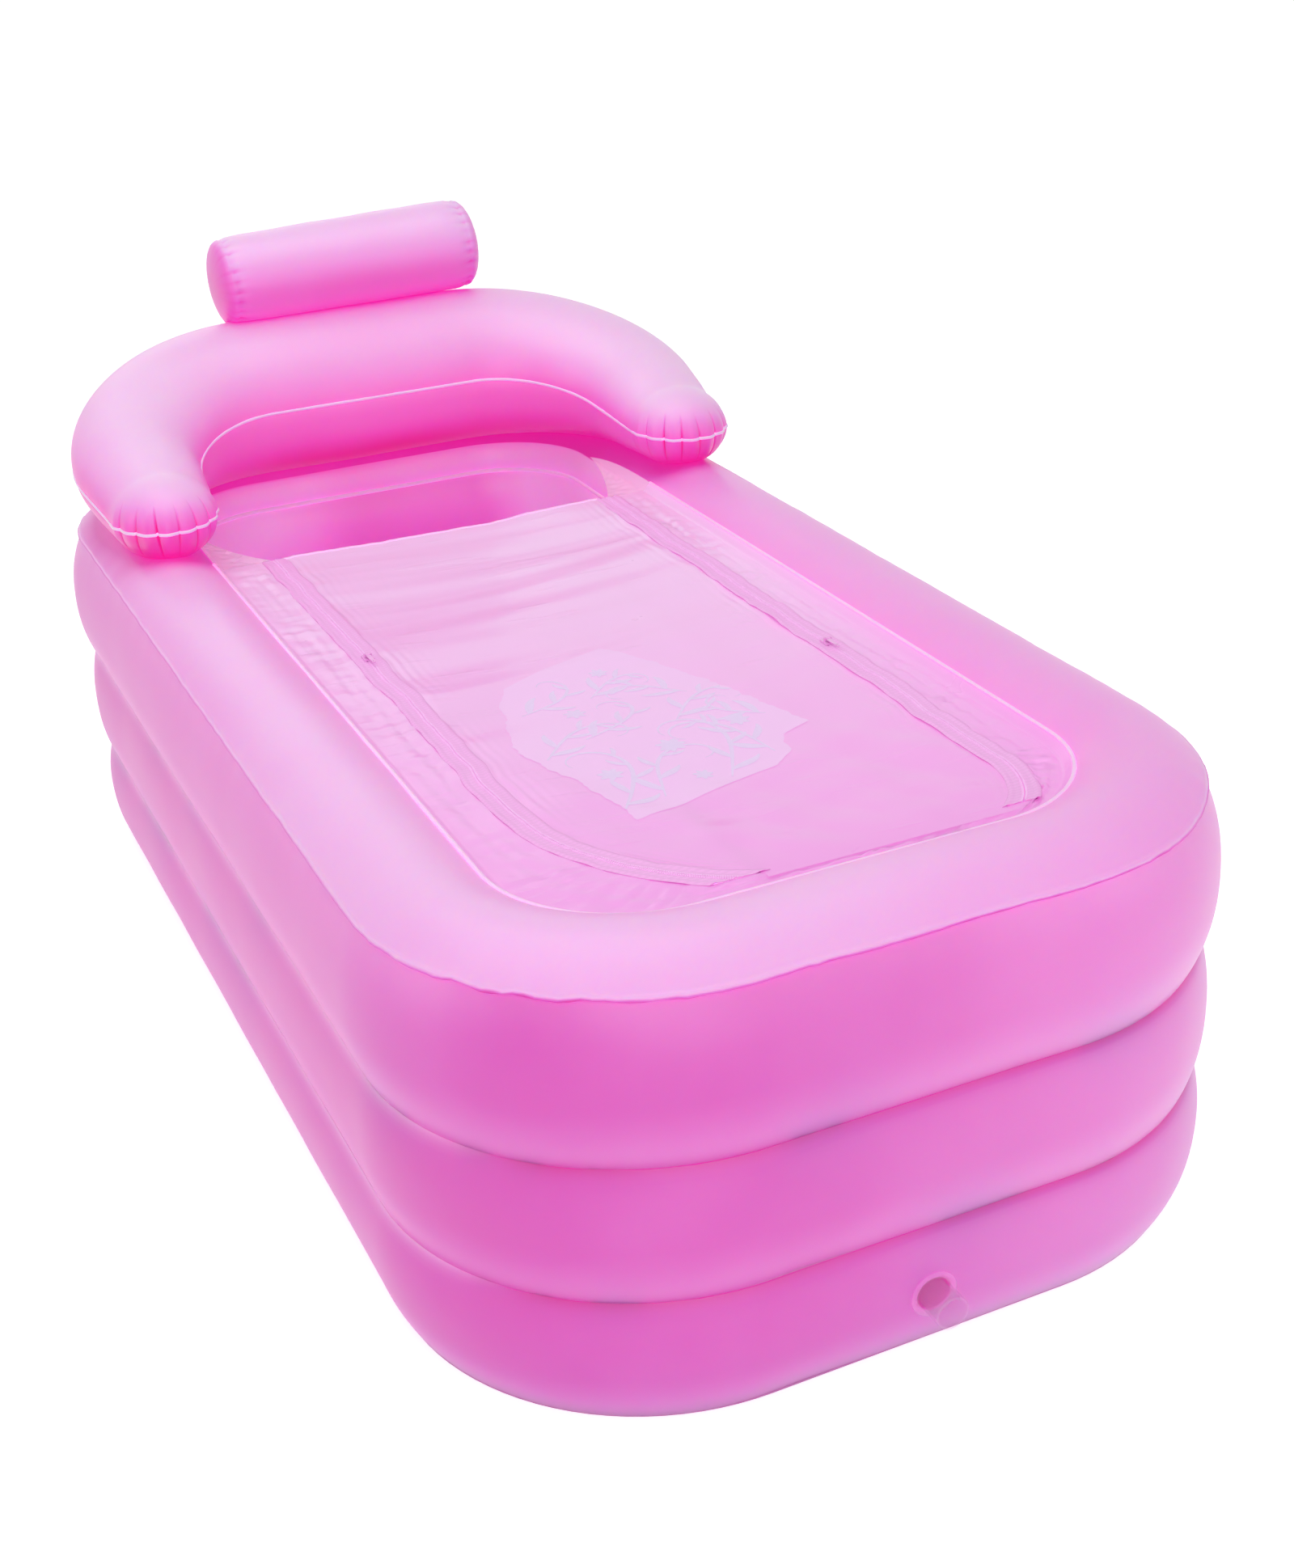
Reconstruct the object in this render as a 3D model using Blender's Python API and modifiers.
"""Inflatable bathtub for one adult, with a zipped film cover, backrest and pillow.

Metres, +Z up. The origin is on the floor under the middle of the tub, the head
end lies towards +Y and the foot end, with its drain, towards -Y.
"""
import math

import bmesh
import bpy
from mathutils import Matrix, Vector

# Plan and heights of the three air chambers, from seam to seam
TUB_WIDTH = 0.798
TUB_LENGTH = 1.572
CORNER_RADIUS = 0.253
CHAMBER_THICKNESS = 0.128
LOWER_TOP = 0.1277
MIDDLE_TOP = 0.2595
UPPER_TOP = 0.4126
LOWER_BULGE = 0.0143
MIDDLE_BULGE = 0.0114
UPPER_BULGE = 0.0166
INNER_BULGE = 0.018
FLOOR_EDGE_INSET = 0.009
DOME_HEIGHT = 0.030
TOP_SEAM_INSET = 0.004
INNER_SEAM_DROP = 0.038
INNER_SEAM_OUTSET = 0.010

# Clearance between pieces that touch, and how far a cutter passes a face
GAP = 0.0003
OVERRUN = 0.010

# Bottom sheet and inflated floor pad
SHEET_THICKNESS = 0.001
PAD_HEIGHT = 0.039
PAD_VALLEY_HEIGHT = 0.021
PAD_EDGE_HEIGHT = 0.012
PAD_CORNER_RADIUS = 0.095
PAD_SIDE_CLEARANCE = 0.006
PAD_CHANNELS = 5
PAD_CHANNEL_POWER = 0.7
PAD_END_POWER = 8
PAD_CHANNEL_STEPS = 6
PAD_VALVE_SHARE = 0.6
PAD_END_SHARES = (-1.0, -0.985, -0.96, -0.92, -0.85, -0.6, 0.0, PAD_VALVE_SHARE, 0.85, 0.92,
                  0.96, 0.985, 1.0)

# Backrest, a C-shaped tube on the upper chamber's head end
BACKREST_SIDE_INSET = 0.069
BACKREST_BACK_INSET = 0.0525
BACKREST_DEPTH = 0.2915
BACKREST_BEND_RADIUS = 0.1985
BACKREST_SHIFT_X = 0.006
LEG_HALF_WIDTH = 0.0614
LEG_HALF_HEIGHT = 0.0493
LEG_RISE = 0.0669
LEG_CAP_LENGTH = 0.0765
BACK_HALF_WIDTH = 0.0941
BACK_HALF_HEIGHT = 0.0959
BACK_RISE = 0.1081
BACK_LEAN = 0.0119
PLEAT_DEPTH = 0.006
PLEATS = 7
PLEAT_FADE_DEGREES = 62

# Pillow, a cylinder with domed ends
PILLOW_LENGTH = 0.356
PILLOW_RADIUS = 0.0584
PILLOW_SEAM_INSET = 0.021
PILLOW_SHIFT_X = 0.023
PILLOW_BACK_OUTSET = 0.0435
PILLOW_SINK = 0.0095
PILLOW_RISE_DEGREES = 2.06
PILLOW_SEAM_RADIUS_SHARE = 0.955
PILLOW_CAP_SHARES = ((0.0, 1.0), (0.35, 0.94), (0.62, 0.78), (0.83, 0.50), (0.95, 0.22))
PILLOW_BODY_SHARES = ((0.985, 0.93), (1.0, 0.75), (1.0, 0.35))

# Film cover with a zip down each side
FILM_THICKNESS = 0.0008
FILM_RISE = 0.0006
COVER_HEAD_INSET = 0.315
HINGE_INSET = 0.026
HINGE_GAP = 0.0005
HEM_WIDTH = 0.010
PANEL_SAG = 0.010
FOLD_HEIGHT = 0.004
BORDER_FOLD_HEIGHT = 0.003
PANEL_ROWS = 22
PANEL_ACROSS_STEPS = 16
PANEL_HEAD_SHARE = 0.02
PANEL_FOOT_SHARES = (0.985, 1.0)
PANEL_ROWS_SHARE = 0.95
SAG_EDGE_POWER = 0.6
SAG_END_POWER = 1.5
SAG_ENDS = 8
FREE_HEAD_ENDS = 6
LONG_FOLD_WAVES = (11, 7)
SHORT_FOLD_WAVES = (23, 9)
SHORT_FOLD_SHARE = 0.6
BORDER_SIDE_STEPS = 18
BORDER_FOOT_STEPS = 6
BORDER_FOLD_SHARES = (0.25, 0.5, 0.75)
BORDER_WAVES = (1.9, 2.1)
BORDER_END_ROWS = 4
LEFT_ZIP_INSET = 0.061
LEFT_ZIP_BEND_INSET = 0.238
LEFT_ZIP_BEND_RADIUS = 0.250
RIGHT_ZIP_INSET = 0.051
RIGHT_ZIP_BEND_INSET = 0.108
RIGHT_ZIP_BEND_RADIUS = 0.120

# Zip chain, tapes, sliders and pulls
TAPE_WIDTH = 0.012
TAPE_THICKNESS = 0.0008
CHAIN_WIDTH = 0.0050
CHAIN_HEIGHT = 0.0024
CHAIN_GAP = 0.0004
SLIDER_LENGTH = 0.015
SLIDER_WIDTH = 0.0105
SLIDER_PLATE = 0.0012
SLIDER_FLANGE = 0.0012
SLIDER_CLEARANCE = 0.0004
SLIDER_LEFT_INSET = 0.357
SLIDER_RIGHT_INSET = 0.568
BRIDGE_PIN_RADIUS = 0.0008
BRIDGE_HEIGHT = 0.0024
BRIDGE_SPAN = 0.0052
BRIDGE_POST = 0.0012
PULL_LENGTH = 0.024
PULL_WIDTH = 0.0052
PULL_THICKNESS = 0.0012
PULL_EYE_RADIUS = 0.0020
PULL_EYE_CLEARANCE = 0.0003
PULL_NECK_SHARE = 0.72
PULL_TIP_SHARE = 0.45
PULL_TIP_RISE_SHARE = 0.25
PULL_HOLE_SHARE = 0.4
PULL_HOLE_INSET_SHARE = 1.6

# Drain through the lower chamber at the foot end
DRAIN_X = 0.0
DRAIN_HEIGHT = 0.063
DRAIN_OUTER_RADIUS = 0.0160
DRAIN_WALL = 0.0022
SPOUT_LENGTH = 0.030
DRAIN_FLANGE_RADIUS = 0.0225
DRAIN_FLANGE_THICKNESS = 0.0012
PLUG_LENGTH = 0.016
PLUG_TAPER = 0.0010
PLUG_CLEARANCE = 0.0004
PLUG_HEAD_RADIUS = 0.0185
PLUG_HEAD_THICKNESS = 0.0030
PLUG_GRIP_RADIUS = 0.0100
PLUG_GRIP_WIRE = 0.0015
PLUG_EDGE_SHARE = 0.94

# Air valves with a flip cap each
VALVE_FLANGE_RADIUS = 0.0135
VALVE_FLANGE_THICKNESS = 0.0012
VALVE_NECK_RADIUS = 0.0070
VALVE_NECK_HEIGHT = 0.0075
VALVE_BORE_RADIUS = 0.0043
CAP_RADIUS = 0.0078
CAP_THICKNESS = 0.0015
CAP_PLUG_RADIUS = 0.0040
CAP_PLUG_END_RADIUS = 0.0028
CAP_PLUG_LENGTH = 0.0050
CAP_HINGE_OFFSET = 0.0100
CAP_STRAP_WIDTH = 0.0050
CAP_STRAP_THICKNESS = 0.0008
LUG_LENGTH = 0.0050
LUG_DEPTH = 0.0030
CAP_EDGE_SHARE = 0.9
CAP_TAB_START_SHARE = 0.8
CAP_TAB_LENGTH_SHARE = 0.6
CAP_TAB_WIDTH_SHARE = 0.8
BACKREST_VALVE_DEGREES = -10
BACKREST_VALVE_SPAN_DEGREES = 12
CHAMBER_VALVE_X = 0.100
PILLOW_VALVE_X = 0.080

# How finely the round forms are divided
CORNER_STEPS = 8
WALL_STEPS = 5
DOME_STEPS = 8
ROUND_STEPS = 20
VALVE_STEPS = 16
DRAIN_STEPS = 24
PILLOW_STEPS = 32
TUBE_QUARTER_STEPS = 6
CAP_STEPS = 32
ZIP_BEND_STEPS = 9
SMALL_STEPS = 12
EYE_STEPS = 16
GRIP_SIDES = 6
CHAMBER_SMOOTH_DEGREES = 25
CUSHION_SMOOTH_DEGREES = 50

HALF_CHAMBER = CHAMBER_THICKNESS / 2
PLAN_X = TUB_WIDTH / 2 - HALF_CHAMBER
PLAN_Y = TUB_LENGTH / 2 - HALF_CHAMBER
PLAN_RADIUS = CORNER_RADIUS - HALF_CHAMBER
CHAMBER_BOTTOM = SHEET_THICKNESS + GAP

# Places that follow from the tub's own size
WELD_X = PLAN_X - HALF_CHAMBER
WELD_Y = PLAN_Y - HALF_CHAMBER
FILM_LEVEL = UPPER_TOP + FILM_RISE
COVER_HEAD_Y = WELD_Y - COVER_HEAD_INSET
HINGE_Y = HINGE_INSET - WELD_Y
LEFT_ZIP_X = LEFT_ZIP_INSET - WELD_X
LEFT_ZIP_BEND_Y = LEFT_ZIP_BEND_INSET - WELD_Y
RIGHT_ZIP_X = WELD_X - RIGHT_ZIP_INSET
RIGHT_ZIP_BEND_Y = RIGHT_ZIP_BEND_INSET - WELD_Y
SLIDER_LEFT_Y = COVER_HEAD_Y - SLIDER_LEFT_INSET
SLIDER_RIGHT_Y = COVER_HEAD_Y - SLIDER_RIGHT_INSET
BACKREST_WIDTH = TUB_WIDTH - 2 * BACKREST_SIDE_INSET
BACKREST_BACK_Y = PLAN_Y - BACKREST_BACK_INSET
BACKREST_LEG_Y = BACKREST_BACK_Y - BACKREST_DEPTH
LEG_CENTRE_Z = UPPER_TOP + LEG_RISE
BACK_CENTRE_Z = UPPER_TOP + BACK_RISE
PILLOW_CENTRE = (PILLOW_SHIFT_X, BACKREST_BACK_Y + PILLOW_BACK_OUTSET,
                 BACK_CENTRE_Z + BACK_HALF_HEIGHT + PILLOW_RADIUS - PILLOW_SINK)

parts = bpy.data.collections.new("inflatable_bathtub")
cutters = bpy.data.collections.new("cutters")


def start_scene():
    for old in list(bpy.data.objects):
        bpy.data.objects.remove(old)
    for collection in (parts, cutters):
        bpy.context.scene.collection.children.link(collection)


def material(name, colour, roughness, transmission=0.0):
    made = bpy.data.materials.new(name)
    made.use_nodes = True
    shader = made.node_tree.nodes["Principled BSDF"]
    shader.inputs["Base Color"].default_value = (*colour, 1.0)
    shader.inputs["Roughness"].default_value = roughness
    shader.inputs["Metallic"].default_value = 0.0
    shader.inputs["Transmission Weight"].default_value = transmission
    made.diffuse_color = (*colour, 1.0)
    return made


# Moving objects and their meshes into the scene

def finish(obj, finish_material, smooth_degrees=35):
    parts.objects.link(obj)
    obj.data.materials.clear()
    obj.data.materials.append(finish_material)
    obj.data.shade_smooth()
    obj.data.set_sharp_from_angle(angle=math.radians(smooth_degrees))
    return obj


def as_cutter(obj):
    cutters.objects.link(obj)
    obj.hide_render = True
    obj.display_type = "WIRE"
    return obj


def from_bmesh(name, shape):
    bmesh.ops.remove_doubles(shape, verts=shape.verts, dist=GAP / 10)
    bmesh.ops.recalc_face_normals(shape, faces=shape.faces)
    mesh = bpy.data.meshes.new(name)
    shape.to_mesh(mesh)
    shape.free()
    return bpy.data.objects.new(name, mesh)


def mesh_of(curve_object):
    """Turn a curve object, not yet linked, into a mesh object with welded caps."""
    bpy.context.scene.collection.objects.link(curve_object)
    graph = bpy.context.evaluated_depsgraph_get()
    evaluated = curve_object.evaluated_get(graph)
    mesh = bpy.data.meshes.new_from_object(evaluated)
    name = curve_object.name
    curve = curve_object.data
    place = curve_object.matrix_world.copy()
    bpy.data.objects.remove(curve_object)
    bpy.data.curves.remove(curve)
    shape = bmesh.new()
    shape.from_mesh(mesh)
    bpy.data.meshes.remove(mesh)
    made = from_bmesh(name, shape)
    made.matrix_world = place
    return made


def poly_curve(name, points, cyclic, dimensions):
    curve = bpy.data.curves.new(name, "CURVE")
    curve.dimensions = dimensions
    spline = curve.splines.new("POLY")
    spline.points.add(len(points) - 1)
    for target, point in zip(spline.points, points):
        target.co = (*point, 1.0)
    spline.use_cyclic_u = cyclic
    return curve


def swept(name, path, profile, cyclic):
    """Sweep a closed profile, x to the right of travel and y up, along a level path."""
    section = poly_curve(name + "_section", [(x, y, 0) for x, y in profile], True, "2D")
    guide = bpy.data.objects.new(name + "_section", section)
    curve = poly_curve(name, path, cyclic, "3D")
    curve.twist_mode = "Z_UP"
    curve.bevel_mode = "OBJECT"
    curve.bevel_object = guide
    curve.use_fill_caps = True
    made = mesh_of(bpy.data.objects.new(name, curve))
    bpy.data.objects.remove(guide)
    return made


def slab(name, outline, bottom, top):
    """Extrude a flat outline between two heights."""
    curve = poly_curve(name, [(x, y, 0) for x, y in outline], True, "2D")
    curve.fill_mode = "BOTH"
    curve.extrude = (top - bottom) / 2
    obj = bpy.data.objects.new(name, curve)
    obj.location = (0, 0, (top + bottom) / 2)
    obj.matrix_world = Matrix.Translation(obj.location)
    return mesh_of(obj)


def turned(name, profile, steps=ROUND_STEPS):
    """Turn a profile of (radius, height), run from top to bottom, about Z."""
    mesh = bpy.data.meshes.new(name)
    points = [(radius, 0, height) for radius, height in profile]
    edges = [(i, i + 1) for i in range(len(points) - 1)]
    if profile[0][0] > 0:
        edges.append((len(points) - 1, 0))
    mesh.from_pydata(points, edges, [])
    obj = bpy.data.objects.new(name, mesh)
    screw = obj.modifiers.new("Turn", "SCREW")
    screw.axis = "Z"
    screw.steps = steps
    screw.render_steps = steps
    screw.use_merge_vertices = True
    screw.merge_threshold = GAP / 10
    screw.use_normal_calculate = profile[0][0] > 0
    return obj


def applied(obj):
    """Return the object with its modifiers applied, normals out, not yet linked."""
    bpy.context.scene.collection.objects.link(obj)
    graph = bpy.context.evaluated_depsgraph_get()
    mesh = bpy.data.meshes.new_from_object(obj.evaluated_get(graph))
    place = obj.matrix_world.copy()
    name = obj.name
    bpy.data.objects.remove(obj)
    shape = bmesh.new()
    shape.from_mesh(mesh)
    bpy.data.meshes.remove(mesh)
    made = from_bmesh(name, shape)
    made.matrix_world = place
    return made


def box(name, low, high):
    shape = bmesh.new()
    middle = [(a + b) / 2 for a, b in zip(low, high)]
    size = [b - a for a, b in zip(low, high)]
    place = Matrix.Translation(middle) @ Matrix.Diagonal((*size, 1.0))
    bmesh.ops.create_cube(shape, size=1.0, matrix=place)
    return from_bmesh(name, shape)


def rod(name, start, end, radius, steps=ROUND_STEPS):
    """A plain cylinder between two points."""
    shape = bmesh.new()
    along = Vector(end) - Vector(start)
    turn = along.to_track_quat("Z", "Y").to_matrix().to_4x4()
    place = Matrix.Translation((Vector(start) + Vector(end)) / 2) @ turn
    bmesh.ops.create_cone(shape, cap_ends=True, segments=steps, radius1=radius,
                          radius2=radius, depth=along.length, matrix=place)
    return from_bmesh(name, shape)


def combine(obj, other, operation):
    change = obj.modifiers.new(operation.title(), "BOOLEAN")
    change.operation = operation
    change.solver = "EXACT"
    change.object = as_cutter(other) if not other.users_collection else other
    return obj


def finish_on_axis(obj, origin, finish_material):
    """Put the object's origin on its joint axis, leaving its shape in place."""
    made = applied(obj)
    made.data.transform(Matrix.Translation(-Vector(origin)))
    made.location = origin
    return finish(made, finish_material)


def cover_hinge():
    return (0, HINGE_Y, FILM_LEVEL + FILM_THICKNESS / 2)


# Outlines and profiles

def rounded_plan(half_x, half_y, radius, steps=CORNER_STEPS):
    """Rounded rectangle, counter-clockwise from the foot end's right corner."""
    points = []
    for start, side_x, side_y in ((-90, 1, -1), (0, 1, 1), (90, -1, 1), (180, -1, -1)):
        for step in range(steps + 1):
            angle = math.radians(start + 90 * step / steps)
            x = side_x * (half_x - radius) + radius * math.cos(angle)
            y = side_y * (half_y - radius) + radius * math.sin(angle)
            points.append((x, y))
    return points


def chamber_plan(offset):
    return rounded_plan(PLAN_X + offset, PLAN_Y + offset, PLAN_RADIUS + offset)


def bulged_wall(start, end, bulge, steps):
    """Points of an inflated wall, bowed to the left of the way from start to end."""
    x0, z0 = start
    x1, z1 = end
    length = math.hypot(x1 - x0, z1 - z0)
    side_x = -(z1 - z0) / length
    side_z = (x1 - x0) / length
    points = []
    for step in range(steps + 1):
        share = step / steps
        out = 4 * bulge * share * (1 - share)
        points.append((x0 + (x1 - x0) * share + side_x * out,
                       z0 + (z1 - z0) * share + side_z * out))
    return points


def grown(profile, amount):
    """Move a clockwise profile outwards by an amount, with mitred corners."""
    points = []
    count = len(profile)
    for index in range(count):
        before = Vector(profile[index - 1])
        here = Vector(profile[index])
        after = Vector(profile[(index + 1) % count])
        first = (here - before).normalized()
        second = (after - here).normalized()
        normal = (Vector((-first.y, first.x)) + Vector((-second.y, second.x))).normalized()
        stretch = max(normal.dot(Vector((-first.y, first.x))), 0.5)
        points.append(tuple(here + normal * amount / stretch))
    return points


def plain_chamber_profile(bottom, top, bulge, foot_inset=0.0):
    inner = bulged_wall((-HALF_CHAMBER, bottom), (-HALF_CHAMBER, top), INNER_BULGE, WALL_STEPS)
    outer = bulged_wall((HALF_CHAMBER, top), (HALF_CHAMBER - foot_inset, bottom), bulge,
                        WALL_STEPS)
    return inner + outer


def dome_height(offset):
    """Height of the upper chamber's top face at an offset from its middle line."""
    reach = HALF_CHAMBER - TOP_SEAM_INSET / 2
    return UPPER_TOP + DOME_HEIGHT * (1 - (offset / reach) ** 2)


def upper_chamber_profile():
    """Clockwise: inner wall up, rolled inner edge, domed top, outer wall down."""
    bottom = MIDDLE_TOP + GAP
    seam = (-HALF_CHAMBER - INNER_SEAM_OUTSET, UPPER_TOP - INNER_SEAM_DROP)
    points = bulged_wall((-HALF_CHAMBER, bottom), seam, INNER_BULGE, WALL_STEPS)
    edge = (-HALF_CHAMBER, dome_height(-HALF_CHAMBER))
    points += bulged_wall(seam, edge, INNER_SEAM_OUTSET / 2, 3)[1:-1]
    for step in range(DOME_STEPS + 1):
        share = step / DOME_STEPS
        offset = -HALF_CHAMBER + (CHAMBER_THICKNESS - TOP_SEAM_INSET) * share
        points.append((offset, dome_height(offset)))
    points += bulged_wall((HALF_CHAMBER - TOP_SEAM_INSET, UPPER_TOP),
                          (HALF_CHAMBER, bottom), UPPER_BULGE, WALL_STEPS)[1:]
    return points


def chamber(name, profile):
    path = [(x, y, 0) for x, y in chamber_plan(0)]
    return swept(name, path, profile, True)


# Air chambers and floor

def make_chambers(wall_material):
    lower = chamber("lower_ring", plain_chamber_profile(
        CHAMBER_BOTTOM, LOWER_TOP, LOWER_BULGE, FLOOR_EDGE_INSET))
    middle = chamber("middle_ring", plain_chamber_profile(
        LOWER_TOP + GAP, MIDDLE_TOP, MIDDLE_BULGE))
    upper = chamber("upper_ring", upper_chamber_profile())
    bore = rod("drain_bore", (DRAIN_X, -TUB_LENGTH / 2 - LOWER_BULGE - OVERRUN, DRAIN_HEIGHT),
               (DRAIN_X, -PLAN_Y + HALF_CHAMBER + INNER_BULGE + OVERRUN, DRAIN_HEIGHT),
               DRAIN_OUTER_RADIUS + GAP)
    combine(lower, bore, "DIFFERENCE")
    for obj in (lower, middle, upper):
        finish(obj, wall_material, CHAMBER_SMOOTH_DEGREES)


def make_floor_sheet(sheet_material):
    outline = chamber_plan(HALF_CHAMBER - FLOOR_EDGE_INSET)
    finish(slab("floor_sheet", outline, 0, SHEET_THICKNESS), sheet_material)


def pad_half_sizes():
    side = PLAN_X - HALF_CHAMBER - INNER_BULGE - PAD_SIDE_CLEARANCE
    end = PLAN_Y - HALF_CHAMBER - INNER_BULGE - PAD_SIDE_CLEARANCE
    return side, end


def pad_top(across_share, end_share):
    """Height of the pad's top over its underside, from shares of its half sizes."""
    channel = abs(math.sin(math.pi * PAD_CHANNELS * (across_share + 1) / 2))
    crown = PAD_VALLEY_HEIGHT + (PAD_HEIGHT - PAD_VALLEY_HEIGHT) * channel ** PAD_CHANNEL_POWER
    end_rise = math.sqrt(1 - end_share ** PAD_END_POWER)
    return PAD_EDGE_HEIGHT + (crown - PAD_EDGE_HEIGHT) * end_rise


def make_floor_pad(pad_material):
    """Lengthwise channels, lofted from one rounded end to the other."""
    side, end = pad_half_sizes()
    across_steps = PAD_CHANNELS * PAD_CHANNEL_STEPS
    shape = bmesh.new()
    loops = []
    for end_share in PAD_END_SHARES:
        y = end * end_share
        into_corner = max(abs(y) - (end - PAD_CORNER_RADIUS), 0)
        arc = math.sqrt(PAD_CORNER_RADIUS ** 2 - into_corner ** 2)
        half = side - PAD_CORNER_RADIUS + arc
        bottom = SHEET_THICKNESS + GAP
        loop = []
        for step in range(across_steps + 1):
            share = 2 * step / across_steps - 1
            height = pad_top(share, abs(end_share))
            if step in (0, across_steps):
                height = PAD_EDGE_HEIGHT
            loop.append(shape.verts.new((half * share, y, bottom + height)))
        loop.append(shape.verts.new((half, y, bottom)))
        loop.append(shape.verts.new((-half, y, bottom)))
        loops.append(loop)
    loft(shape, loops)
    finish(from_bmesh("floor_pad", shape), pad_material)


def loft(shape, loops):
    """Join closed loops of equal count with quads, and cap both ends."""
    for first, second in zip(loops, loops[1:]):
        count = len(first)
        for index in range(count):
            after = (index + 1) % count
            shape.faces.new((first[index], first[after], second[after], second[index]))
    shape.faces.new(loops[0])
    shape.faces.new(list(reversed(loops[-1])))


# Backrest and pillow

def backrest_centreline():
    """Stations along the C, each with its place, outward side and share from leg to back."""
    half = BACKREST_WIDTH / 2
    bend_y = BACKREST_BACK_Y - BACKREST_BEND_RADIUS
    places = []
    for share in (0.0, 0.5):
        places.append((-half, BACKREST_LEG_Y + (bend_y - BACKREST_LEG_Y) * share, 180))
    for step in range(CORNER_STEPS + 1):
        turn = 180 - 90 * step / CORNER_STEPS
        places.append((-half + BACKREST_BEND_RADIUS * (1 + math.cos(math.radians(turn))),
                       bend_y + BACKREST_BEND_RADIUS * math.sin(math.radians(turn)), turn))
    places.append((0.0, BACKREST_BACK_Y, 90))
    places += [(-x, y, 180 - turn) for x, y, turn in reversed(places[:-1])]
    stations = []
    for x, y, turn in places:
        outward = Vector((math.cos(math.radians(turn)), math.sin(math.radians(turn)), 0))
        share = (y - BACKREST_LEG_Y) / (BACKREST_BACK_Y - BACKREST_LEG_Y)
        stations.append((Vector((x + BACKREST_SHIFT_X, y, 0)), outward, share))
    return stations


def backrest_point(station, degrees, grow=0.0):
    """Point on the backrest's skin: 0 is the outer seam, 90 the top, 180 the inner seam."""
    place, outward, share = station
    half_width = LEG_HALF_WIDTH + (BACK_HALF_WIDTH - LEG_HALF_WIDTH) * share + grow
    half_height = LEG_HALF_HEIGHT + (BACK_HALF_HEIGHT - LEG_HALF_HEIGHT) * share + grow
    centre = LEG_CENTRE_Z + (BACK_CENTRE_Z - LEG_CENTRE_Z) * share
    across = math.cos(math.radians(degrees))
    rise = math.sin(math.radians(degrees))
    out = half_width * across + BACK_LEAN * share * rise
    return place + outward * out + Vector((0, 0, centre + half_height * rise))


def backrest_cap_point(station, along, turn_degrees, rise_degrees, depth, grow):
    """Point on a leg's rounded end, turned in plan from its outer seam to its inner seam."""
    place, outward, share = station
    level = math.cos(math.radians(rise_degrees))
    pull = 1 - depth / LEG_HALF_WIDTH
    side = (LEG_HALF_WIDTH + grow) * math.cos(math.radians(turn_degrees)) * level * pull
    ahead = (LEG_CAP_LENGTH + grow) * math.sin(math.radians(turn_degrees)) * level * pull
    height = (LEG_HALF_HEIGHT + grow) * math.sin(math.radians(rise_degrees))
    return place + outward * side + along * ahead + Vector((0, 0, LEG_CENTRE_Z + height))


def backrest_shape(name, grow, quarter=TUBE_QUARTER_STEPS, turns=CAP_STEPS):
    shape = bmesh.new()
    stations = backrest_centreline()
    round_count = 4 * quarter
    loops = []
    for station in stations:
        loops.append([shape.verts.new(backrest_point(station, -90 + 90 * k / quarter, grow))
                      for k in range(round_count)])
    for first, second in zip(loops, loops[1:]):
        for k in range(round_count):
            after = (k + 1) % round_count
            shape.faces.new((first[k], first[after], second[after], second[k]))
    pleat_step = turns // (PLEATS + 1)
    for loop, station in ((loops[0], stations[0]), (loops[-1], stations[-1])):
        along = Vector((0, -1, 0))
        columns = [loop[: 2 * quarter + 1]]
        for turn in range(1, turns):
            is_pleat = turn % pleat_step == 0 and grow == 0
            column = [loop[0]]
            for k in range(1, 2 * quarter):
                rise = -90 + 90 * k / quarter
                fade = max(1 - abs(rise) / PLEAT_FADE_DEGREES, 0)
                depth = PLEAT_DEPTH * fade if is_pleat else 0
                column.append(shape.verts.new(backrest_cap_point(
                    station, along, 180 * turn / turns, rise, depth, grow)))
            column.append(loop[2 * quarter])
            columns.append(column)
        inner = [loop[(-k) % round_count] for k in range(2 * quarter + 1)]
        columns.append(inner)
        for first, second in zip(columns, columns[1:]):
            for k in range(2 * quarter):
                corners = (first[k], first[k + 1], second[k + 1], second[k])
                shape.faces.new(tuple(dict.fromkeys(corners)))
    return from_bmesh(name, shape)


def make_backrest(wall_material):
    """Seated on the upper chamber, pressed flat where it rests."""
    backrest = backrest_shape("backrest", 0)
    seat = chamber("backrest_seat", grown(upper_chamber_profile(), GAP))
    combine(backrest, seat, "DIFFERENCE")
    finish(backrest, wall_material, CUSHION_SMOOTH_DEGREES)


def pillow_profile(grow=0.0):
    """Half outline of the pillow, from one domed end's tip to the other's."""
    half = PILLOW_LENGTH / 2 + grow
    radius = PILLOW_RADIUS + grow
    seam = half - PILLOW_SEAM_INSET
    seam_radius = radius * PILLOW_SEAM_RADIUS_SHARE
    end = [(seam_radius * out, seam + PILLOW_SEAM_INSET * up)
           for out, up in PILLOW_CAP_SHARES]
    body = [(radius * out, seam * up) for out, up in PILLOW_BODY_SHARES]
    upper = end + [(seam_radius, seam)] + body
    return upper + [(r, -z) for r, z in reversed(upper)]


def pillow_place():
    rise = Matrix.Rotation(-math.radians(PILLOW_RISE_DEGREES), 4, "Y")
    lie = Matrix.Rotation(math.radians(90), 4, "Y")
    return Matrix.Translation(PILLOW_CENTRE) @ rise @ lie


def make_pillow(wall_material):
    pillow = turned("headrest_pillow", pillow_profile(), PILLOW_STEPS)
    pillow = applied(pillow)
    pillow.data.transform(pillow_place())
    combine(pillow, backrest_shape("pillow_seat", GAP), "DIFFERENCE")
    finish(pillow, wall_material, CUSHION_SMOOTH_DEGREES)


# Zips and film cover

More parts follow.
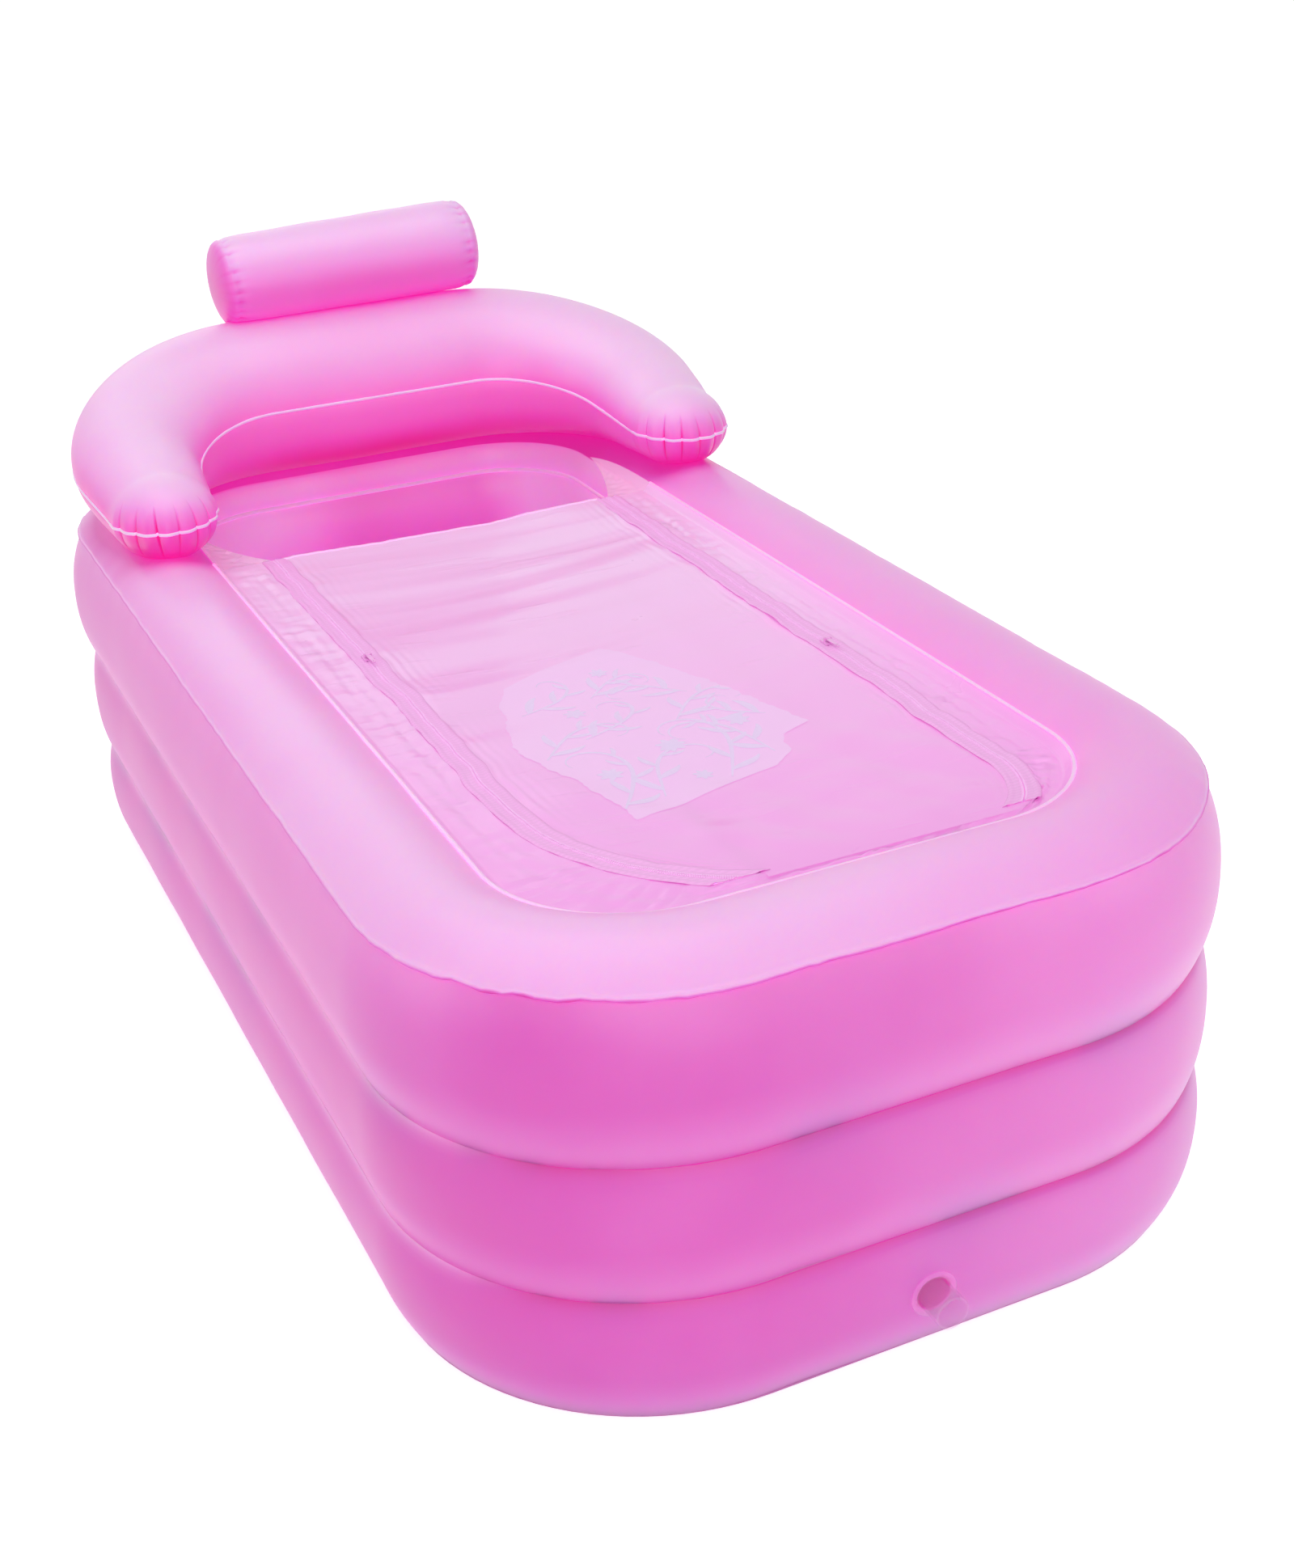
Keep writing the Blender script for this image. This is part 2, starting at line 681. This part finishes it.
def zip_line(x, bend_y, radius, side, start_y, end_y, steps=ZIP_BEND_STEPS):
    """Plan of a zip from the head end: straight, then bending in towards the middle."""
    points = [(x, start_y), (x, (start_y + bend_y) / 2), (x, bend_y)]
    centre_x = x + side * radius
    reach = math.asin(min((bend_y - end_y) / radius, 1))
    for step in range(1, steps + 1):
        angle = reach * step / steps
        points.append((centre_x - side * radius * math.cos(angle),
                       bend_y - radius * math.sin(angle)))
    return points


def left_zip(offset=0.0, end_y=HINGE_Y):
    """The left zip's plan; a positive offset moves it towards the middle."""
    return zip_line(LEFT_ZIP_X + offset, LEFT_ZIP_BEND_Y, LEFT_ZIP_BEND_RADIUS - offset, 1,
                    COVER_HEAD_Y, end_y)


def right_zip(offset=0.0, end_y=HINGE_Y):
    """The right zip's plan; a positive offset moves it towards the middle."""
    return zip_line(RIGHT_ZIP_X - offset, RIGHT_ZIP_BEND_Y, RIGHT_ZIP_BEND_RADIUS - offset, -1,
                    COVER_HEAD_Y, end_y)


def along_line(points, shares):
    """Points at shares of a polyline's length."""
    lengths = [0.0]
    for first, second in zip(points, points[1:]):
        lengths.append(lengths[-1] + math.dist(first, second))
    found = []
    for share in shares:
        want = share * lengths[-1]
        index = 0
        while index < len(points) - 2 and lengths[index + 1] < want:
            index += 1
        span = lengths[index + 1] - lengths[index]
        part = (want - lengths[index]) / span
        first = points[index]
        second = points[index + 1]
        found.append((first[0] + (second[0] - first[0]) * part,
                      first[1] + (second[1] - first[1]) * part))
    return found


def x_at(points, y):
    """Where a line that runs down in y crosses a level."""
    for first, second in zip(points, points[1:]):
        if first[1] >= y >= second[1]:
            part = (first[1] - y) / (first[1] - second[1])
            return first[0] + (second[0] - first[0]) * part
    return points[-1][0]


def split_line(points, y):
    """Part a line that runs down in y into the stretches above and below a level."""
    middle = (x_at(points, y), y)
    return ([point for point in points if point[1] > y] + [middle],
            [middle] + [point for point in points if point[1] < y])


def thicken(obj, thickness):
    """Give a film its thickness, half to each side."""
    solid = obj.modifiers.new("Film", "SOLIDIFY")
    solid.thickness = thickness
    solid.offset = 0
    solid.use_even_offset = True
    return obj


def sheet_from_rows(name, rows):
    shape = bmesh.new()
    grid = [[shape.verts.new(point) for point in row] for row in rows]
    for first, second in zip(grid, grid[1:]):
        for index in range(len(first) - 1):
            shape.faces.new((first[index], first[index + 1], second[index + 1],
                             second[index]))
    return from_bmesh(name, shape)


def tape_edge():
    """How far a tape's outer edge lies from the middle of its zip."""
    return CHAIN_GAP / 2 + CHAIN_WIDTH / 2 + TAPE_WIDTH


def film_edge():
    """Where a film is laid out to, before the zip's slot trims it to the tape."""
    return tape_edge() - TAPE_WIDTH / 6


def zip_path(line):
    return [(x, y, FILM_LEVEL) for x, y in line]


def past_foot(name, foot):
    """A cutter that trims a zip square along the foot weld."""
    return box(name, (-TUB_WIDTH / 2, foot - TAPE_WIDTH * 4, 0),
               (TUB_WIDTH / 2, foot, UPPER_TOP + DOME_HEIGHT))


def trim_for_zips(film):
    """Cut the films back to the outer edges of the zip tapes."""
    for line in zip_lines():
        reach = tape_edge() + GAP
        half_height = CHAIN_HEIGHT * 2
        profile = [(-reach, -half_height), (-reach, half_height), (reach, half_height),
                   (reach, -half_height)]
        slot = swept("zip_slot", zip_path(line), profile, False)
        combine(slot, past_foot("slot_end", HINGE_Y), "DIFFERENCE")
        combine(film, slot, "DIFFERENCE")


def zip_lines():
    past_hinge = HINGE_Y - TAPE_WIDTH
    return left_zip(0, past_hinge), right_zip(0, past_hinge)


def panel_fold(share, row_share):
    long_across, long_down = LONG_FOLD_WAVES
    short_across, short_down = SHORT_FOLD_WAVES
    long_fold = math.sin(long_across * share + long_down * row_share)
    short_fold = math.sin(short_across * share - short_down * row_share)
    return long_fold + SHORT_FOLD_SHARE * short_fold


def make_cover_panel(film_material):
    """The part that lifts: between the zips, welded along the foot end."""
    left = left_zip(film_edge())
    right = right_zip(film_edge())
    foot = HINGE_Y + HINGE_GAP
    row_shares = [0.0, PANEL_HEAD_SHARE]
    row_shares += [PANEL_HEAD_SHARE + PANEL_ROWS_SHARE * step / PANEL_ROWS
                   for step in range(1, PANEL_ROWS + 1)]
    row_shares += PANEL_FOOT_SHARES
    rows = []
    for row_share in row_shares:
        y = COVER_HEAD_Y + (foot - COVER_HEAD_Y) * row_share
        first = x_at(left, y)
        last = x_at(right, y)
        row = []
        for step in range(PANEL_ACROSS_STEPS + 1):
            share = step / PANEL_ACROSS_STEPS
            edge = math.sin(math.pi * share)
            ends = min(row_share, 1 - row_share) * SAG_ENDS
            held = edge ** SAG_EDGE_POWER * min(ends, 1) ** SAG_END_POWER
            free_head = edge * max(1 - row_share * FREE_HEAD_ENDS, 0)
            fold = panel_fold(share, row_share)
            z = FILM_LEVEL - PANEL_SAG * held - PANEL_SAG * free_head / 2
            z += FOLD_HEIGHT * fold * held / 2
            row.append((first + (last - first) * share, y, z))
        rows.append(row)
    panel = applied(thicken(sheet_from_rows("cover_panel", rows), FILM_THICKNESS))
    trim_for_zips(panel)
    finish_on_axis(panel, cover_hinge(), film_material)


def border_lines():
    """Paired outer and inner plan lines of the border film, stretch by stretch."""
    half_x = WELD_X
    half_y = WELD_Y
    radius = PLAN_RADIUS - HALF_CHAMBER
    corner = rounded_plan(half_x, half_y, radius)
    right_corner = list(reversed(corner[: CORNER_STEPS + 1]))
    left_corner = list(reversed(corner[3 * CORNER_STEPS + 3:]))
    left = left_zip(-film_edge())
    right = right_zip(-film_edge())
    straight_end = -(half_y - radius)
    right_side, right_turn = split_line(right, straight_end)
    left_side, left_turn = split_line(left, straight_end)
    foot_right = (right[-1][0], HINGE_Y - GAP)
    foot_left = (left[-1][0], HINGE_Y - GAP)
    right_turn[-1] = foot_right
    left_turn[-1] = foot_left
    side_shares = [step / BORDER_SIDE_STEPS for step in range(BORDER_SIDE_STEPS + 1)]
    corner_shares = [step / CORNER_STEPS for step in range(CORNER_STEPS + 1)]
    foot_shares = [step / BORDER_FOOT_STEPS for step in range(BORDER_FOOT_STEPS + 1)]
    stretches = (
        ([(half_x, COVER_HEAD_Y), (half_x, straight_end)], right_side, side_shares),
        (right_corner, right_turn, corner_shares),
        ([right_corner[-1], left_corner[0]], [foot_right, foot_left], foot_shares),
        (left_corner, list(reversed(left_turn)), corner_shares),
        ([(-half_x, straight_end), (-half_x, COVER_HEAD_Y)], list(reversed(left_side)),
         side_shares),
    )
    outer = []
    inner = []
    for outer_line, inner_line, shares in stretches:
        skip = 1 if outer else 0
        outer += along_line(outer_line, shares)[skip:]
        inner += along_line(inner_line, shares)[skip:]
    return outer, inner


def hem_point(weld_point, rise_share):
    """A point of the hem, which lies on the upper chamber's inner slope."""
    offset = -HALF_CHAMBER + HEM_WIDTH * rise_share
    x, y = weld_point
    corner_x = max(min(x, PLAN_X - PLAN_RADIUS), -(PLAN_X - PLAN_RADIUS))
    corner_y = max(min(y, PLAN_Y - PLAN_RADIUS), -(PLAN_Y - PLAN_RADIUS))
    outward = Vector((x - corner_x, y - corner_y))
    outward = outward.normalized() * HEM_WIDTH * rise_share
    lift = 3 * GAP + FILM_THICKNESS
    return (x + outward.x, y + outward.y, dome_height(offset) + lift)


def make_cover_border(film_material):
    """U-shaped film between the zips and the upper chamber's inner edge, with its hem."""
    outer, inner = border_lines()
    rows = []
    count = len(outer)
    along_waves, across_waves = BORDER_WAVES
    for index, (weld, edge) in enumerate(zip(outer, inner)):
        row = [(edge[0], edge[1], FILM_LEVEL)]
        weld_z = hem_point(weld, 0)[2]
        width = math.dist(weld, edge)
        fade = min(index, count - 1 - index, BORDER_END_ROWS) / BORDER_END_ROWS
        calm = min(width / (BORDER_END_ROWS * HEM_WIDTH), 1) ** 2
        for number, share in enumerate(BORDER_FOLD_SHARES):
            wave = math.sin(index * along_waves + number * across_waves)
            wave *= math.sin(math.pi * share)
            z = FILM_LEVEL + (weld_z - FILM_LEVEL) * share
            z += BORDER_FOLD_HEIGHT * wave * fade * calm
            row.append((edge[0] + (weld[0] - edge[0]) * share,
                        edge[1] + (weld[1] - edge[1]) * share, z))
        row.append(hem_point(weld, 0))
        row.append(hem_point(weld, 0.5))
        row.append(hem_point(weld, 1))
        rows.append(row)
    border = applied(thicken(sheet_from_rows("cover_border", rows), FILM_THICKNESS))
    trim_for_zips(border)
    finish(border, film_material)


def zip_half_profile(side):
    """Section of a tape with its row of teeth; side 1 has the tape right of travel."""
    near = CHAIN_GAP / 2
    tooth = near + CHAIN_WIDTH / 2
    far = tooth + TAPE_WIDTH
    half_tape = TAPE_THICKNESS / 2
    half_chain = CHAIN_HEIGHT / 2
    points = [(near, -half_chain), (near, half_chain), (tooth, half_chain), (tooth, half_tape),
              (far, half_tape), (far, -half_tape), (tooth, -half_tape), (tooth, -half_chain)]
    return [(side * x, y) for x, y in points]


def make_zip(side_name, line, panel_side, tape_material):
    """Both halves of one zip, cut square at the foot weld."""
    halves = (("border", -panel_side, GAP, (0, 0, 0)),
              ("panel", panel_side, HINGE_GAP, cover_hinge()))
    for half_name, side, foot_gap, origin in halves:
        name = "zip_tape_%s_%s" % (side_name, half_name)
        tape = swept(name, zip_path(line), zip_half_profile(side), False)
        combine(tape, past_foot(name + "_end", HINGE_Y + foot_gap), "DIFFERENCE")
        finish_on_axis(tape, origin, tape_material)


def make_slider(side_name, x, y, metal):
    """Slider over the two rows of teeth, with a bridge that holds its pull."""
    top = FILM_LEVEL + CHAIN_HEIGHT / 2 + SLIDER_CLEARANCE
    plate_top = top + SLIDER_PLATE
    half_x = SLIDER_WIDTH / 2
    half_y = SLIDER_LENGTH / 2
    flange_bottom = FILM_LEVEL + TAPE_THICKNESS / 2 + SLIDER_CLEARANCE
    slider = box("zip_slider_" + side_name, (x - half_x, y - half_y, top),
                 (x + half_x, y + half_y, plate_top))
    for side in (-1, 1):
        inner = x + side * (half_x - SLIDER_FLANGE)
        outer = x + side * half_x
        flange = box("slider_flange", (min(inner, outer), y - half_y, flange_bottom),
                     (max(inner, outer), y + half_y, top + SLIDER_PLATE / 2))
        combine(slider, flange, "UNION")
        post_x = x + side * (BRIDGE_SPAN / 2 + PULL_EYE_CLEARANCE)
        post_out = post_x + side * BRIDGE_POST
        post = box("bridge_post",
                   (min(post_x, post_out), y - BRIDGE_PIN_RADIUS * 2, plate_top - SLIDER_PLATE / 2),
                   (max(post_x, post_out), y + BRIDGE_PIN_RADIUS * 2,
                    plate_top + BRIDGE_HEIGHT + BRIDGE_PIN_RADIUS * 2))
        combine(slider, post, "UNION")
    pin_z = plate_top + BRIDGE_HEIGHT
    reach = BRIDGE_SPAN / 2 + PULL_EYE_CLEARANCE + BRIDGE_POST / 2
    pin = rod("bridge_pin", (x - reach, y, pin_z), (x + reach, y, pin_z), BRIDGE_PIN_RADIUS,
              SMALL_STEPS)
    combine(slider, pin, "UNION")
    finish_on_axis(slider, (x, y, FILM_LEVEL), metal)
    make_pull(side_name, x, y, pin_z, metal)


def make_pull(side_name, x, y, pin_z, metal):
    """Flat pull on a round eye, lying towards the foot end."""
    half_eye = BRIDGE_SPAN / 2
    eye = rod("zip_pull_" + side_name, (x - half_eye, y, pin_z), (x + half_eye, y, pin_z),
              PULL_EYE_RADIUS, EYE_STEPS)
    half_width = PULL_WIDTH / 2
    tip = y - PULL_LENGTH
    neck = half_width * PULL_NECK_SHARE
    near_tip = half_width * PULL_TIP_SHARE
    near_tip_y = tip + half_width * PULL_TIP_RISE_SHARE
    outline = [(x - half_width, y), (x - neck, tip + half_width), (x - near_tip, near_tip_y),
               (x, tip), (x + near_tip, near_tip_y), (x + neck, tip + half_width),
               (x + half_width, y)]
    plate = slab("pull_plate", [(px, min(py, y)) for px, py in outline],
                 pin_z - PULL_THICKNESS / 2, pin_z + PULL_THICKNESS / 2)
    combine(eye, plate, "UNION")
    reach = half_eye + BRIDGE_POST
    bore = rod("pull_bore", (x - reach, y, pin_z), (x + reach, y, pin_z),
               BRIDGE_PIN_RADIUS + PULL_EYE_CLEARANCE, SMALL_STEPS)
    combine(eye, bore, "DIFFERENCE")
    hole_y = tip + half_width * PULL_HOLE_INSET_SHARE
    hole = rod("pull_hole", (x, hole_y, pin_z - PULL_THICKNESS), (x, hole_y, pin_z + PULL_THICKNESS),
               half_width * PULL_HOLE_SHARE, SMALL_STEPS)
    combine(eye, hole, "DIFFERENCE")
    finish_on_axis(eye, (x, y, pin_z), metal)


# Drain

def drain_ends():
    outer_wall = -PLAN_Y - HALF_CHAMBER - LOWER_BULGE + FLOOR_EDGE_INSET / 2
    inner_wall = -PLAN_Y + HALF_CHAMBER + INNER_BULGE
    return outer_wall, inner_wall


def turned_along_y(name, profile, steps=ROUND_STEPS):
    """Turn a profile of (radius, y); it lies along Y at the drain's height."""
    obj = applied(turned(name, profile, steps))
    lie = Matrix.Rotation(-math.radians(90), 4, "X")
    obj.data.transform(Matrix.Translation((DRAIN_X, 0, DRAIN_HEIGHT)) @ lie)
    return obj


def make_drain(clear_material, plug_material):
    """Clear pipe through the lower chamber, with a plug on the bath side."""
    outer_wall, inner_wall = drain_ends()
    inside = inner_wall + GAP
    outside = outer_wall - SPOUT_LENGTH
    flange_face = outer_wall - GAP
    bore = DRAIN_OUTER_RADIUS - DRAIN_WALL
    profile = [(bore, inside + DRAIN_FLANGE_THICKNESS),
               (DRAIN_FLANGE_RADIUS, inside + DRAIN_FLANGE_THICKNESS),
               (DRAIN_FLANGE_RADIUS, inside), (DRAIN_OUTER_RADIUS, inside),
               (DRAIN_OUTER_RADIUS, flange_face), (DRAIN_FLANGE_RADIUS, flange_face),
               (DRAIN_FLANGE_RADIUS, flange_face - DRAIN_FLANGE_THICKNESS),
               (DRAIN_OUTER_RADIUS, flange_face - DRAIN_FLANGE_THICKNESS),
               (DRAIN_OUTER_RADIUS, outside), (bore, outside)]
    finish(turned_along_y("drain_pipe", profile, DRAIN_STEPS), clear_material)

    seat = inside + DRAIN_FLANGE_THICKNESS + GAP
    top_radius = bore - PLUG_CLEARANCE
    head = seat + PLUG_HEAD_THICKNESS
    plug_profile = [(0, head), (PLUG_HEAD_RADIUS * PLUG_EDGE_SHARE, head),
                    (PLUG_HEAD_RADIUS, head - PLUG_HEAD_THICKNESS / 3),
                    (PLUG_HEAD_RADIUS, seat), (top_radius, seat),
                    (top_radius - PLUG_TAPER, seat - PLUG_LENGTH), (0, seat - PLUG_LENGTH)]
    plug = turned_along_y("drain_plug", plug_profile, DRAIN_STEPS)
    shape = bmesh.new()
    ring_place = Matrix.Translation((DRAIN_X, head, DRAIN_HEIGHT))
    wire = []
    for step in range(SMALL_STEPS + 1):
        angle = math.pi * step / SMALL_STEPS
        reach = PLUG_GRIP_RADIUS
        centre = Vector((reach * math.cos(angle), reach * math.sin(angle), 0))
        away = centre.normalized()
        loop = []
        for side in range(GRIP_SIDES):
            turn = 2 * math.pi * side / GRIP_SIDES
            point = centre + away * PLUG_GRIP_WIRE * math.cos(turn)
            point.z += PLUG_GRIP_WIRE * math.sin(turn)
            loop.append(shape.verts.new(point - Vector((0, PLUG_GRIP_WIRE / 2, 0))))
        wire.append(loop)
    loft(shape, wire)
    grip = from_bmesh("plug_grip", shape)
    grip.data.transform(ring_place)
    combine(plug, grip, "UNION")
    finish_on_axis(plug, (DRAIN_X, seat, DRAIN_HEIGHT), plug_material)


# Air valves

def valve_frame(place, outward, hinge_side):
    """Frame at a valve's seat: Z outward, X away from its hinge."""
    z = Vector(outward).normalized()
    x = -Vector(hinge_side)
    x = (x - z * x.dot(z)).normalized()
    y = z.cross(x)
    turn = Matrix((x, y, z)).transposed().to_4x4()
    return Matrix.Translation(Vector(place) + z * GAP) @ turn


def make_valve(chamber_name, frame, soft_material):
    """Flanged neck with a flip cap; the cap's plug closes the bore."""
    rim = VALVE_FLANGE_THICKNESS + VALVE_NECK_HEIGHT
    body_profile = [(VALVE_BORE_RADIUS, rim), (VALVE_NECK_RADIUS, rim),
                    (VALVE_NECK_RADIUS, VALVE_FLANGE_THICKNESS),
                    (VALVE_FLANGE_RADIUS, VALVE_FLANGE_THICKNESS / 2),
                    (VALVE_FLANGE_RADIUS, 0), (VALVE_BORE_RADIUS, 0)]
    body = applied(turned("valve_" + chamber_name, body_profile, VALVE_STEPS))
    lug_out = -(VALVE_NECK_RADIUS + LUG_LENGTH)
    lug_in = -(VALVE_NECK_RADIUS + VALVE_BORE_RADIUS) / 2
    half_strap = CAP_STRAP_WIDTH / 2
    lug = box("valve_lug", (lug_out, -half_strap, rim - LUG_DEPTH), (lug_in, half_strap, rim))
    combine(body, lug, "UNION")

    under = rim + GAP
    cap_profile = [(0, under + CAP_THICKNESS), (CAP_RADIUS * CAP_EDGE_SHARE, under + CAP_THICKNESS),
                   (CAP_RADIUS, under + CAP_THICKNESS / 2), (CAP_RADIUS, under),
                   (CAP_PLUG_RADIUS, under), (CAP_PLUG_END_RADIUS, under - CAP_PLUG_LENGTH),
                   (0, under - CAP_PLUG_LENGTH)]
    cap = applied(turned("valve_cap_" + chamber_name, cap_profile, VALVE_STEPS))
    strap = box("cap_strap", (-CAP_HINGE_OFFSET, -half_strap, under),
                (-CAP_RADIUS / 2, half_strap, under + CAP_STRAP_THICKNESS))
    combine(cap, strap, "UNION")
    half_tab = half_strap * CAP_TAB_WIDTH_SHARE
    tab_bottom = under + CAP_STRAP_THICKNESS / 4
    tab = box("cap_tab", (CAP_RADIUS * CAP_TAB_START_SHARE, -half_tab, tab_bottom),
              (CAP_RADIUS + CAP_STRAP_WIDTH * CAP_TAB_LENGTH_SHARE, half_tab,
               tab_bottom + CAP_STRAP_THICKNESS))
    combine(cap, tab, "UNION")

    hinge = Vector((-CAP_HINGE_OFFSET, 0, under + CAP_STRAP_THICKNESS / 2))
    for obj, origin in ((body, Vector((0, 0, 0))), (cap, hinge)):
        made = applied(obj)
        made.data.transform(Matrix.Translation(-origin))
        made.matrix_world = frame @ Matrix.Translation(origin)
        finish(made, soft_material)


def make_valves(wall_material, clear_material):
    up = Vector((0, 0, 1))
    out = Vector((0, 1, 0))
    head_wall = PLAN_Y + HALF_CHAMBER
    levels = (("lower", CHAMBER_BOTTOM, LOWER_TOP, LOWER_BULGE - FLOOR_EDGE_INSET / 2),
              ("middle", LOWER_TOP, MIDDLE_TOP, MIDDLE_BULGE),
              ("upper", MIDDLE_TOP, UPPER_TOP, UPPER_BULGE - TOP_SEAM_INSET / 2))
    for name, bottom, top, bulge in levels:
        place = (CHAMBER_VALVE_X, head_wall + bulge, (bottom + top) / 2)
        make_valve(name, valve_frame(place, out, up), wall_material)
    pad_place = (0, pad_half_sizes()[1] * PAD_VALVE_SHARE,
                 SHEET_THICKNESS + GAP + pad_top(0, PAD_VALVE_SHARE))
    make_valve("floor", valve_frame(pad_place, up, out), clear_material)

    flat_half = BACKREST_WIDTH / 2 - BACKREST_BEND_RADIUS
    back_x = BACKREST_SHIFT_X - flat_half
    station = (Vector((back_x, BACKREST_BACK_Y, 0)), out, 1.0)
    below = backrest_point(station, BACKREST_VALVE_DEGREES - BACKREST_VALVE_SPAN_DEGREES)
    above = backrest_point(station, BACKREST_VALVE_DEGREES + BACKREST_VALVE_SPAN_DEGREES)
    slope = (above - below).normalized()
    outward = Vector((1, 0, 0)).cross(slope)
    outward = outward if outward.y > 0 else -outward
    seat = backrest_point(station, BACKREST_VALVE_DEGREES)
    make_valve("backrest", valve_frame(seat, outward, slope), wall_material)

    frame = pillow_place()
    centre = frame @ Vector((0, 0, PILLOW_VALVE_X))
    place = centre + out * PILLOW_RADIUS
    make_valve("pillow", valve_frame(place, out, up), wall_material)


def build():
    start_scene()
    pink_wall = material("pink_pvc", (0.82, 0.22, 0.56), 0.35)
    pale_wall = material("pale_pink_pvc", (0.90, 0.42, 0.76), 0.35)
    film = material("clear_film", (0.93, 0.62, 0.86), 0.2, 0.4)
    tape = material("zip_tape", (0.93, 0.68, 0.88), 0.5)
    metal = material("zip_metal", (0.85, 0.72, 0.82), 0.3)
    clear = material("clear_pvc", (0.85, 0.70, 0.85), 0.1, 0.8)
    plug = material("plug_pvc", (0.90, 0.80, 0.88), 0.4)
    make_chambers(pink_wall)
    make_floor_sheet(pink_wall)
    make_floor_pad(pale_wall)
    make_backrest(pale_wall)
    make_pillow(pale_wall)
    make_cover_panel(film)
    make_cover_border(film)
    left_line, right_line = zip_lines()
    make_zip("left", left_line, -1, tape)
    make_zip("right", right_line, 1, tape)
    make_slider("left", LEFT_ZIP_X, SLIDER_LEFT_Y, metal)
    make_slider("right", RIGHT_ZIP_X, SLIDER_RIGHT_Y, metal)
    make_drain(clear, plug)
    make_valves(pale_wall, clear)


build()
